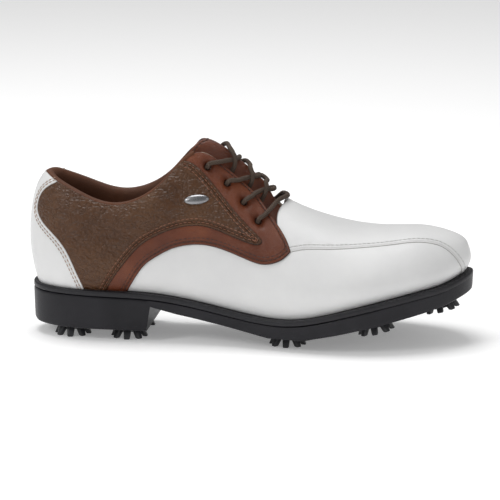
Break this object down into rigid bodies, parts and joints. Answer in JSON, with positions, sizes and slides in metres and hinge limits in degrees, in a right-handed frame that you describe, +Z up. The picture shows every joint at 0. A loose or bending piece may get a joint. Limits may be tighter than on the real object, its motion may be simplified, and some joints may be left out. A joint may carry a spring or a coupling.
{
  "type": "golf shoe",
  "caption": "Men's laced golf shoe for the right foot: white and brown leather saddle upper, padded tongue, welted rubber sole and twist-in cleats.",
  "frame": {"origin": "middle of the shoe's bounding box, on the ground that the cleats' tips touch", "axes": "+X towards the toe, -Y towards the outer (lateral) side of this right shoe, +Z up"},
  "size_m": [0.3056, 0.1078, 0.1351],
  "materials": {
    "outsole_rubber": "matte moulded rubber, charcoal black",
    "welt_rubber": "satin black welt strip",
    "midsole_filler": "granular cork filler",
    "fibre_board": "pressed fibre board",
    "pewter_metal": "satin pewter",
    "shank_steel": "rolled strip steel",
    "cleat_plastic": "semi-gloss black polyurethane",
    "socket_plastic": "moulded nylon",
    "white_leather": "smooth coated white leather, soft sheen",
    "smooth_brown_leather": "smooth red-brown leather, satin",
    "pebbled_brown_leather": "tumbled, pebbled dark brown leather",
    "lining_leather": "smooth lining leather",
    "sock_cover": "leather-covered cushion",
    "foam": "open-cell foam",
    "braided_lace": "round braided waxed cord",
    "aglet_plastic": "clear-coated brown film"
  },
  "bodies": {
    "shoe": {"outsole": "outsole_rubber", "welt": "welt_rubber", "midsole": "midsole_filler", "shank": "shank_steel", "insole_board": "fibre_board", "sockliner": "sock_cover", "cleat_socket_1": "socket_plastic", "cleat_socket_2": "socket_plastic", "cleat_socket_3": "socket_plastic", "cleat_socket_4": "socket_plastic", "cleat_socket_5": "socket_plastic", "cleat_socket_6": "socket_plastic", "cleat_socket_7": "socket_plastic", "cleat_socket_8": "socket_plastic", "cleat_socket_9": "socket_plastic", "vamp_centre": "white_leather", "vamp_side_lateral": "white_leather", "vamp_side_medial": "white_leather", "saddle_lateral": "smooth_brown_leather", "saddle_medial": "smooth_brown_leather", "quarter_lateral": "pebbled_brown_leather", "quarter_medial": "pebbled_brown_leather", "heel_cover": "white_leather", "counter_stiffener": "fibre_board", "toe_puff": "fibre_board", "vamp_lining": "lining_leather", "quarter_lining": "lining_leather", "collar_pad": "foam", "eyelet_stay_lateral": "fibre_board", "eyelet_stay_medial": "fibre_board", "lace": "braided_lace", "aglet_1": "aglet_plastic", "aglet_2": "aglet_plastic", "stud": "pewter_metal"},
    "tongue": {"tongue_outer": "smooth_brown_leather", "tongue_pad": "foam", "tongue_lining": "lining_leather"},
    "cleat_1": {"cleat_1": "cleat_plastic"},
    "cleat_2": {"cleat_2": "cleat_plastic"},
    "cleat_3": {"cleat_3": "cleat_plastic"},
    "cleat_4": {"cleat_4": "cleat_plastic"},
    "cleat_5": {"cleat_5": "cleat_plastic"},
    "cleat_6": {"cleat_6": "cleat_plastic"},
    "cleat_7": {"cleat_7": "cleat_plastic"},
    "cleat_8": {"cleat_8": "cleat_plastic"},
    "cleat_9": {"cleat_9": "cleat_plastic"}
  },
  "joints": [
    {"name": "cleat_1_twist", "type": "hinge", "parent": "shoe", "child": "cleat_1", "pos_m": [-0.12225, -0.0139, 0.008], "axis": [0, 0, -1], "range_deg": [0, 90]},
    {"name": "cleat_2_twist", "type": "hinge", "parent": "shoe", "child": "cleat_2", "pos_m": [-0.12225, 0.0141, 0.008], "axis": [0, 0, -1], "range_deg": [0, 90]},
    {"name": "cleat_3_twist", "type": "hinge", "parent": "shoe", "child": "cleat_3", "pos_m": [-0.08225, -0.0169, 0.008], "axis": [0, 0, -1], "range_deg": [0, 90]},
    {"name": "cleat_4_twist", "type": "hinge", "parent": "shoe", "child": "cleat_4", "pos_m": [-0.08225, 0.0151, 0.008], "axis": [0, 0, -1], "range_deg": [0, 90]},
    {"name": "cleat_5_twist", "type": "hinge", "parent": "shoe", "child": "cleat_5", "pos_m": [0.02875, -0.0259, 0.008], "axis": [0, 0, -1], "range_deg": [0, 90]},
    {"name": "cleat_6_twist", "type": "hinge", "parent": "shoe", "child": "cleat_6", "pos_m": [0.02975, 0.0261, 0.008], "axis": [0, 0, -1], "range_deg": [0, 90]},
    {"name": "cleat_7_twist", "type": "hinge", "parent": "shoe", "child": "cleat_7", "pos_m": [0.08775, -0.0249, 0.01842], "axis": [0.219, 0, -0.9757], "range_deg": [0, 90]},
    {"name": "cleat_8_twist", "type": "hinge", "parent": "shoe", "child": "cleat_8", "pos_m": [0.08875, 0.0281, 0.01864], "axis": [0.2211, 0, -0.9753], "range_deg": [0, 90]},
    {"name": "cleat_9_twist", "type": "hinge", "parent": "shoe", "child": "cleat_9", "pos_m": [0.12975, 0.0041, 0.02827], "axis": [0.2395, 0, -0.9709], "range_deg": [0, 90]},
    {"name": "tongue_fold", "type": "hinge", "parent": "shoe", "child": "tongue", "pos_m": [0.03475, 0.0051, 0.078], "axis": [0, 1, 0], "range_deg": [-8, 0], "stiffness_Nm_per_rad": 0.5, "springref_deg": 2.86}
  ]
}
